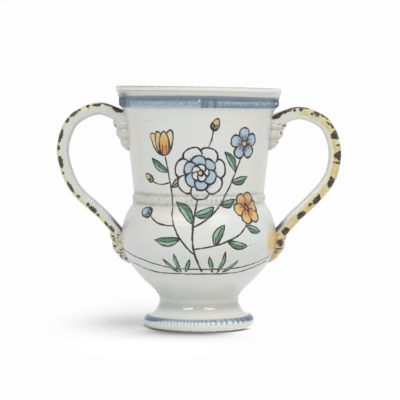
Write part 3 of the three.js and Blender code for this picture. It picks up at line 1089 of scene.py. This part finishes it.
def makeFootMaterial():
    material, place = newMaterial("foot_glaze")
    x, y, z = place.split()
    paint = footPaint
    wander = place.noise(0.25)
    angle = x.calc("ARCTAN2", -y)
    outer = lengthOf(x, y).smooth(35.2, 36.5)
    ends = abs(angle).step(0.55, 1.25)
    low = paint["line"] - ends * (paint["line"] - paint["endLine"]) + (wander - 0.5) * 1.2
    line = (z - low).step(-0.5, 0.4) * outer
    crowded = (angle * 3.0 + 0.9).calc("SINE") * paint["crowding"]
    phase = angle * paint["teeth"] + crowded + (wander - 0.5) * 5.0
    wave = phase.calc("COSINE") * 0.5 + 0.5
    hang = (z + (wander - 0.5) * 1.5).step(paint["teethEnd"] - 0.4, paint["teethEnd"] + 1.2)
    tooth = (wave + ends * 0.25).step(0.6, 0.95) * hang * outer
    lobe = wave.step(0.75, 0.2) * hang * outer * (1.0 - ends * 0.5)
    haze = z.step(paint["teethEnd"] - 2.0, paint["teethEnd"] + 0.5) * outer
    # painted light on the foot: the cushion a little lighter, the lower flare lighter still; then painted
    # shade higher up the flare, under the bowl
    coats = Coats(z.smooth(7.2, 8.6).over(paint["low"], paint["cushion"]), paint)
    coats.lay(z.step(9.4, 15.0), "neck")
    coats.lay(haze * 0.6, "haze")
    # pale blue lobes between the teeth, also made lighter than the glaze as a painted soft reflection
    coats.lay(lobe * 0.8, "lobe")
    bold = (angle.step(-0.4, 0.6) * 0.4 + 0.1 + wander) * (1.0 - angle.bell(0.03, 0.13) * 0.6)
    coats.lay(tooth * bold, "tooth")
    lineTint = blend(ends, paint["lineFront"], paint["lineEnds"])
    leftward = angle.step(-0.5, -1.1)
    strength = wander * 0.7 + 0.25 + ends * 0.5 + leftward * 0.8
    coats.tint = (line * strength).over(coats.tint, lineTint)
    # painted light on the bottom edge of the foot, which stands in shade
    coats.lay(z.step(1.6, 0.5), "litBottomEdge")
    # painted shade on the flare just under the stem
    coats.lay(z.bell(16.5, 2.0) * 0.5, "jointShade")
    wear = z.smooth(0.9, 0.1) * wander.smooth(0.45, 0.6)
    finishMaterial(place, coats.tint, 0.07, wear, ripple=0.12)
    return material


# Blue band under the lip: a dark top stroke, a thin wash, short marks along the bottom. A post is a darker
# upright, given by its place in degrees and its half width, and a white spot by its distance across and its
# height.
bandPaint = {
    "marks": 118.0, "whiteSpots": ((0.3, 161.8), (54.6, 160.4)),
    "posts": ((-77.0, 4.0), (-66.0, 4.0), (-60.0, 1.6), (2.6, 1.3), (5.4, 1.4), (11.3, 1.5), (80.0, 3.0)),
    "deep": (0.32, 0.44, 0.61), "thin": (0.51, 0.64, 0.80), "top": (0.20, 0.26, 0.33),
    "mark": (0.24, 0.31, 0.41), "pale": (0.72, 0.82, 0.93), "post": (0.14, 0.19, 0.28),
    "end": (0.09, 0.12, 0.14), "whiteSpot": (0.95, 0.98, 0.98),
}


def makeBandMaterial():
    material, place = newMaterial("band_glaze")
    x, y, z = place.split()
    paint = bandPaint
    angle = x.calc("ARCTAN2", -y)
    wander = place.noise(0.2)
    fine = place.noise(0.8)
    level = levelAt(x, y, z) + (wander - 0.5) * 1.6 + (fine - 0.5) * 0.9
    wash = (wander + (fine - 0.5) * 1.2).smooth(0.3, 0.75)
    coats = Coats(blend(wash, paint["deep"], paint["thin"]), paint)
    dark = level.step(161.0, 162.4)
    coats.lay(dark * (wander * 0.5 + 0.7), "top")
    phase = angle * paint["marks"] + (wander - 0.5) * 5.0
    wave = phase.calc("COSINE") * 0.7
    rightward = angle.step(-0.15, 0.35)
    mark = (level + wave).step(160.3, 159.0) * (rightward * 0.88 + 0.12)
    coats.lay(mark * (fine * 0.8 + 0.4), "mark")
    pale = level.step(158.9, 157.6) * (1.0 - rightward) * 0.75
    coats.lay(pale, "pale")
    degrees = angle * (180 / math.pi) + (wander - 0.5) * 3.0
    for middle, halfWidth in paint["posts"]:
        post = degrees.bell(middle, halfWidth) * (fine * 1.2 + 0.25)
        coats.lay(post, "post")
    ends = abs(x).step(48.5, 53.0)
    coats.lay(ends * fine.smooth(0.35, 0.6) * 0.8, "end")
    # white spots; the one at the right end is a painted highlight on the lumps there
    for across, up in paint["whiteSpots"]:
        whiteSpot = (lengthOf(x - across, level - up) + y.smooth(-5.0, 5.0)).step(1.1, 0.3)
        coats.lay(whiteSpot, "whiteSpot")
    lumps = x.step(48.0, 54.0) * place.noise(0.5, 1.0) * 0.8
    finishMaterial(place, coats.tint, ends * 0.45 + 0.2, relief=lumps)
    return material


# Brush marks on the straps: distance along from the neck, half length, and how far round from the middle of
# the outer face they begin and end. One that begins at 0 is a half moon, cut off by the strap's edge.
strapMarks = {
    "left": [
        (11.6, 3.6, 0, 9.0), (18.6, 4.6, 2.4, 6.8), (25.4, 2.5, 5.7, 8.6), (30.6, 1.0, 4.0, 8.2),
        (36.9, 0.8, 4.8, 7.2), (41.0, 3.0, 4.0, 8.6), (46.9, 1.7, 5.0, 8.2), (58.1, 4.2, 4.4, 8.8),
        (65.9, 1.5, 5.4, 8.2), (75.5, 3.8, 5.5, 9.6), (83.3, 0.9, 5.2, 7.6), (94.2, 3.9, 6.3, 8.8),
        (102.4, 1.3, 6.6, 9.2), (111.2, 1.0, 7.0, 9.6), (116.2, 3.3, 5.6, 9.6), (121.6, 1.3, 6.0, 8.0),
        (130.7, 1.9, 5.8, 8.2), (135.9, 2.7, 6.3, 9.5),
    ],
    "right": [
        (8.0, 3.2, 5.5, 10.0), (14.5, 4.5, 4.8, 8.2), (20.2, 4.0, 3.6, 6.4), (20.6, 0.7, 7.2, 9.0),
        (24.7, 1.4, 4.0, 9.2), (27.7, 1.9, 2.0, 6.0), (32.6, 0.8, 8.2, 9.8), (35.3, 2.2, 4.4, 9.2),
        (39.4, 1.9, 3.6, 7.0), (42.4, 1.0, 3.6, 6.6), (44.9, 1.0, 7.8, 9.2), (47.8, 1.8, 5.6, 8.0),
        (54.2, 2.8, 0, 10.8), (61.1, 0.5, 5.0, 9.6), (68.2, 2.9, 0, 10.8), (73.0, 0.5, 4.4, 9.4),
        (87.4, 3.3, 5.2, 10.7), (84.6, 0.9, 9.0, 11.0), (102.9, 3.1, 5.2, 10.5), (99.6, 0.8, 8.8, 10.6),
        (108.7, 1.5, 8.6, 10.4), (118.2, 3.6, 5.0, 10.5), (134.6, 3.2, 5.4, 11.0),
    ],
}
# each strap's ground is painted shade on the left handle and painted light on the right
strapWash = {
    "left": {
        "reach": 8.9, "ground": (0.94, 0.945, 0.94), "pale": (0.99, 0.94, 0.68), "deep": (0.93, 0.81, 0.46),
    },
    "right": {
        "reach": 12.2, "ground": (1.06, 1.06, 1.02), "pale": (0.96, 0.88, 0.56), "deep": (0.84, 0.63, 0.24),
    },
    "crookShade": (0.19, 0.18, 0.16), "ink": (0.018, 0.016, 0.015), "thinInk": (0.21, 0.145, 0.10),
}
strapEdge = 6.4  # how far round the corner of the strap is


def makeHandleMaterial(name):
    material, place = newMaterial("handle_glaze_" + name)
    y = place.split()[1]
    along, outward = attribute(place, "along"), attribute(place, "outward")
    wander = place.noise(0.3)
    fine = place.noise(1.1)
    around = abs(y) + (strap["thickness"] / 2 - outward).most(0.0) + (fine - 0.5) * 1.6
    wash = strapWash[name]
    band = around.smooth(wash["reach"] + 0.9, wash["reach"] - 1.6) * along.smooth(16.0, 30.0)
    patchy = joined(along, around * 0.35, 0.0).noise(0.11).smooth(0.22, 0.45)
    streak = joined(along * 0.1, around, 0.0).noise(0.9)
    yellow = blend((streak * 0.75 + wander * 0.25).smooth(0.42, 0.60), wash["pale"], wash["deep"])
    tint = (band * patchy).over(wash["ground"], yellow)
    # painted shade on the inner side of the strap near its lower root, in the crook against the bowl
    inner = outward.step(-1.2, -3.4)
    crookShade = along.step(125.0, 136.0) * inner * (wander + 0.6)
    tint = crookShade.over(tint, strapWash["crookShade"])
    pastEdge = (around - strapEdge).most(0.0) + (3.6 - around).most(0.0) * 2.5
    spots = None
    for middle, half, near, far in strapMarks[name]:
        start = near or 2 * strapEdge - far
        reach = (far - start) / 2
        blob = (pastEdge if near == 0 else around - (near + far) / 2) / reach
        blob = (lengthOf((along - middle) / half, blob) - 1.0) * min(half, reach)
        spots = blob if spots is None else spots.least(blob)
    ink = (spots + (fine - 0.5) * 1.3 + (wander - 0.5) * 0.8).smooth(0.5, 0.0)
    thin = fine.smooth(0.42, 0.7).most(wander.smooth(0.52, 0.62) * 0.7)
    tint = blend(ink, tint, blend(thin, strapWash["ink"], strapWash["thinInk"]))
    finishMaterial(place, tint, 0.18)
    return material


# Moulded sprigs: a wash, darker in the hollows of the mould, spots, and dabs of the brush given by their
# distance from the axis, height and half sizes
sprigPaint = {
    "upper_leaf_left": {
        "wash": (0.93, 0.92, 0.89), "hollow": (0.84, 0.81, 0.76), "spots": 0.0,
        "dabs": [
            (59.6, 143.0, 0.5, 1.5), (58.6, 137.0, 0.6, 1.0),
            (57.4, 133.4, 0.5, 1.0), (54.6, 128.2, 0.5, 0.9),
        ],
    },
    "upper_leaf_right": {
        "wash": (0.99, 0.96, 0.90), "hollow": (0.82, 0.77, 0.70), "spots": 0.15,
        "dabs": [
            (60.8, 143.6, 1.5, 0.6), (57.4, 144.8, 1.3, 0.5),
            (58.4, 138.0, 0.5, 1.1), (56.4, 131.6, 0.6, 0.7),
        ],
    },
    "lower_leaf_left": {
        "wash": (0.94, 0.86, 0.72), "hollow": (0.70, 0.60, 0.46), "spots": 0.9,
        "dabs": [
            (61.6, 64.6, 1.6, 0.8), (60.0, 57.6, 1.3, 1.0),
            (58.2, 53.0, 1.6, 0.9), (55.2, 48.6, 0.8, 0.8),
        ],
    },
    "lower_leaf_right": {
        "wash": (0.98, 0.76, 0.40), "hollow": (0.60, 0.34, 0.12), "spots": 0.5,
        "dabs": [(57.9, 60.2, 2.3, 2.6), (57.2, 55.9, 2.6, 0.6), (60.6, 54.4, 0.9, 0.9)],
    },
    "ink": (0.06, 0.045, 0.035),
}


def makeSprigMaterial(name):
    material, place = newMaterial("sprig_glaze_" + name)
    paint = sprigPaint[name]
    x, _, z = place.split()
    down, side = attribute(place, "down"), abs(attribute(place, "side"))
    fine = place.noise(0.9)
    wander = place.noise(0.3)
    groove = (down * (3 * 2 * math.pi) - side * 2.6 + 0.4).calc("COSINE")
    hollow = (groove * -0.5 + 0.5).smooth(0.45, 1.0)
    tint = (hollow * (wander + 0.2)).over(paint["wash"], paint["hollow"])
    ink = place.noise(0.42, 1.0).step(0.56, 0.64) * paint["spots"]
    ragged = (fine - 0.5) * 1.2
    for away, height, halfWidth, halfHeight in paint["dabs"]:
        dab = lengthOf((abs(x) - away) / halfWidth, (z - height) / halfHeight) + ragged
        ink = ink.most(dab.step(1.25, 0.75))
    tint = ink.over(tint, sprigPaint["ink"])
    finishMaterial(place, tint, 0.14)
    return material


bodyMaterial = makeBodyMaterial()
footMaterial = makeFootMaterial()
bandMaterial = makeBandMaterial()
print("glazes mixed")

turnedTree = makeTurnedTree()
for name, outline, material, ridge in (
    ("foot", footOutline(), footMaterial, 0.004),
    ("bowl", bowlOutline(), bodyMaterial, 0.035),
    ("neck", neckOutline(), bodyMaterial, 0.035),
):
    sizes = {"Sides": pot["sides"], "Material": material, "Throwing Ridge": ridge * mm}
    finishPiece(grown(name + "_glazed", polyline(name, outline), turnedTree, sizes), "tin_glaze", name)
makeRing("waist_rib", turnedTree, bodyMaterial, "tin_glaze")
makeRing("rim_band", turnedTree, bandMaterial, "blue_border")
print("pot turned")

strapTree = makeStrapTree()
for name in ("left", "right"):
    makeHandle(name, strapTree, makeHandleMaterial(name))
print("handles pulled")

for name in sprigs:
    makeSprig(name, makeSprigMaterial(name), "painted_glaze" if "upper" in name else "ochre_glaze")
print("sprigs pressed")


# Pale floor, which fades into the white backdrop away from the vase
floor = {
    "radius": 1.2, "fadeFrom": 0.015, "fadeTo": 0.08, "centre": (-0.035, 0.0), "deeper": 2.6,
    "albedo": 0.93, "glow": 0.02, "white": 0.985, "contact": 0.0397, "aheadReach": 0.0045,
    "turnedReach": 0.0026, "softness": 0.0022, "sideShade": 0.36, "frontShade": 0.78,
    "shade": 0.74, "shadeFrom": 0.048, "shadeFade": 0.0143,
}


def makeFloor():
    mesh = bmesh.new()
    bmesh.ops.create_circle(mesh, cap_ends=True, segments=96, radius=floor["radius"])
    made = bpy.data.meshes.new("floor")
    mesh.to_mesh(made)
    mesh.free()
    piece = addObject("floor", made)
    material, place = blankMaterial("floor_white")
    x, y, _ = place.split()
    tree = place.tree
    across, deep = floor["centre"]
    away = lengthOf(x - across, (y - deep) / floor["deeper"]).smooth(floor["fadeFrom"], floor["fadeTo"])
    # soft contact shade, wide in front of the foot and narrow at its sides, which only the camera sees
    radius = lengthOf(x, y)
    facing = -(y / radius)
    ahead = facing.step(0.55, 1.0)
    turned = facing.step(0.32, 0.62)
    line = radius - ahead * floor["aheadReach"] - turned * floor["turnedReach"] - floor["contact"]
    line = line.step(floor["softness"], -floor["softness"])
    line = line * (turned * floor["frontShade"] + x.step(0.01, -0.01) * (1.0 - turned) * floor["sideShade"])
    wide = (-((y + x.most(0.0) * 0.6) / radius)).step(0.45, 1.0)
    faded = ((floor["shadeFrom"] - radius) / floor["shadeFade"]).least(0.0).calc("EXPONENT")
    wide = faded * wide * floor["shade"]
    shade = line.most(wide)
    rays = addNode(tree, "ShaderNodeLightPath")
    kept = 1.0 - shade * outOf(rays, "Is Camera Ray")
    albedo, level, glow = [
        joined(kept * value, kept * value, kept * value)
        for value in (floor["albedo"], floor["white"], floor["glow"])
    ]
    paper = addNode(tree, "ShaderNodeBsdfDiffuse", {"Color": albedo})
    faint = addNode(tree, "ShaderNodeEmission", {"Color": glow, "Strength": 1.0})
    near = addNode(tree, "ShaderNodeAddShader", {0: outOf(paper), 1: outOf(faint)})
    bright = addNode(tree, "ShaderNodeEmission", {"Color": level, "Strength": 1.0})
    mix = addNode(tree, "ShaderNodeMixShader", {0: away, 1: outOf(near), 2: outOf(bright)})
    addNode(tree, "ShaderNodeOutputMaterial", {0: outOf(mix)})
    made.materials.append(material)
    piece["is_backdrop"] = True


# Studio light: two strips that the glaze mirrors, broad lamps from the right, from the left in front and from
# above, and white all round. Angles in degrees, from the front and up from the floor.
lamps = {
    "stripRight": {"azimuth": 34.0, "elevation": 37.0, "distance": 1.1, "size": (0.50, 0.14), "power": 1.95},
    "stripLeft": {"azimuth": -34.0, "elevation": 37.0, "distance": 1.1, "size": (0.50, 0.14), "power": 1.95},
    "side": {"azimuth": 80.0, "elevation": 22.0, "distance": 1.3, "size": (0.9, 0.5), "power": 3.0},
    "front": {"azimuth": -22.0, "elevation": 7.0, "distance": 1.4, "size": (1.2, 0.5), "power": 2.6},
    "top": {"azimuth": 80.0, "elevation": 80.0, "distance": 1.3, "size": (0.6, 0.6), "power": 5.4},
}
lampAim = (0.0, 0.0, 0.06)
surround = {"seen": 0.985, "reflected": 0.95, "light": 0.536}


def lightStudio():
    for name, lamp in lamps.items():
        data = bpy.data.lights.new(name, "AREA")
        data.shape = "RECTANGLE"
        data.size, data.size_y = lamp["size"]
        data.energy = lamp["power"]
        light = addObject(name, data)
        light.visible_glossy = name.startswith("strip")
        azimuth, elevation = math.radians(lamp["azimuth"]), math.radians(lamp["elevation"])
        flat = math.cos(elevation)
        way = Vector((math.sin(azimuth) * flat, -math.cos(azimuth) * flat, math.sin(elevation)))
        light.location = way * lamp["distance"] + Vector(lampAim)
        light.rotation_euler = (-way).to_track_quat("-Z", "Y").to_euler()
    world = bpy.data.worlds.new("surround")
    bpy.context.scene.world = world
    world.use_nodes = True
    tree = world.node_tree
    tree.nodes.clear()
    rays = addNode(tree, "ShaderNodeLightPath")
    light, reflected, seen = [
        outOf(addNode(tree, "ShaderNodeBackground", {"Color": (level, level, level), "Strength": 1.0}))
        for level in (surround["light"], surround["reflected"], surround["seen"])
    ]
    room = addNode(tree, "ShaderNodeMixShader", {0: outOf(rays, "Is Glossy Ray"), 1: light, 2: reflected})
    mix = addNode(tree, "ShaderNodeMixShader", {0: outOf(rays, "Is Camera Ray"), 1: outOf(room), 2: seen})
    addNode(tree, "ShaderNodeOutputWorld", {0: outOf(mix)})


makeFloor()
lightStudio()
bpy.context.scene.view_settings.view_transform = "Standard"
print("studio lit")

sizes = {"cad": [list(corner) for corner in cadBox], "visual": [list(corner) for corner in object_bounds()]}
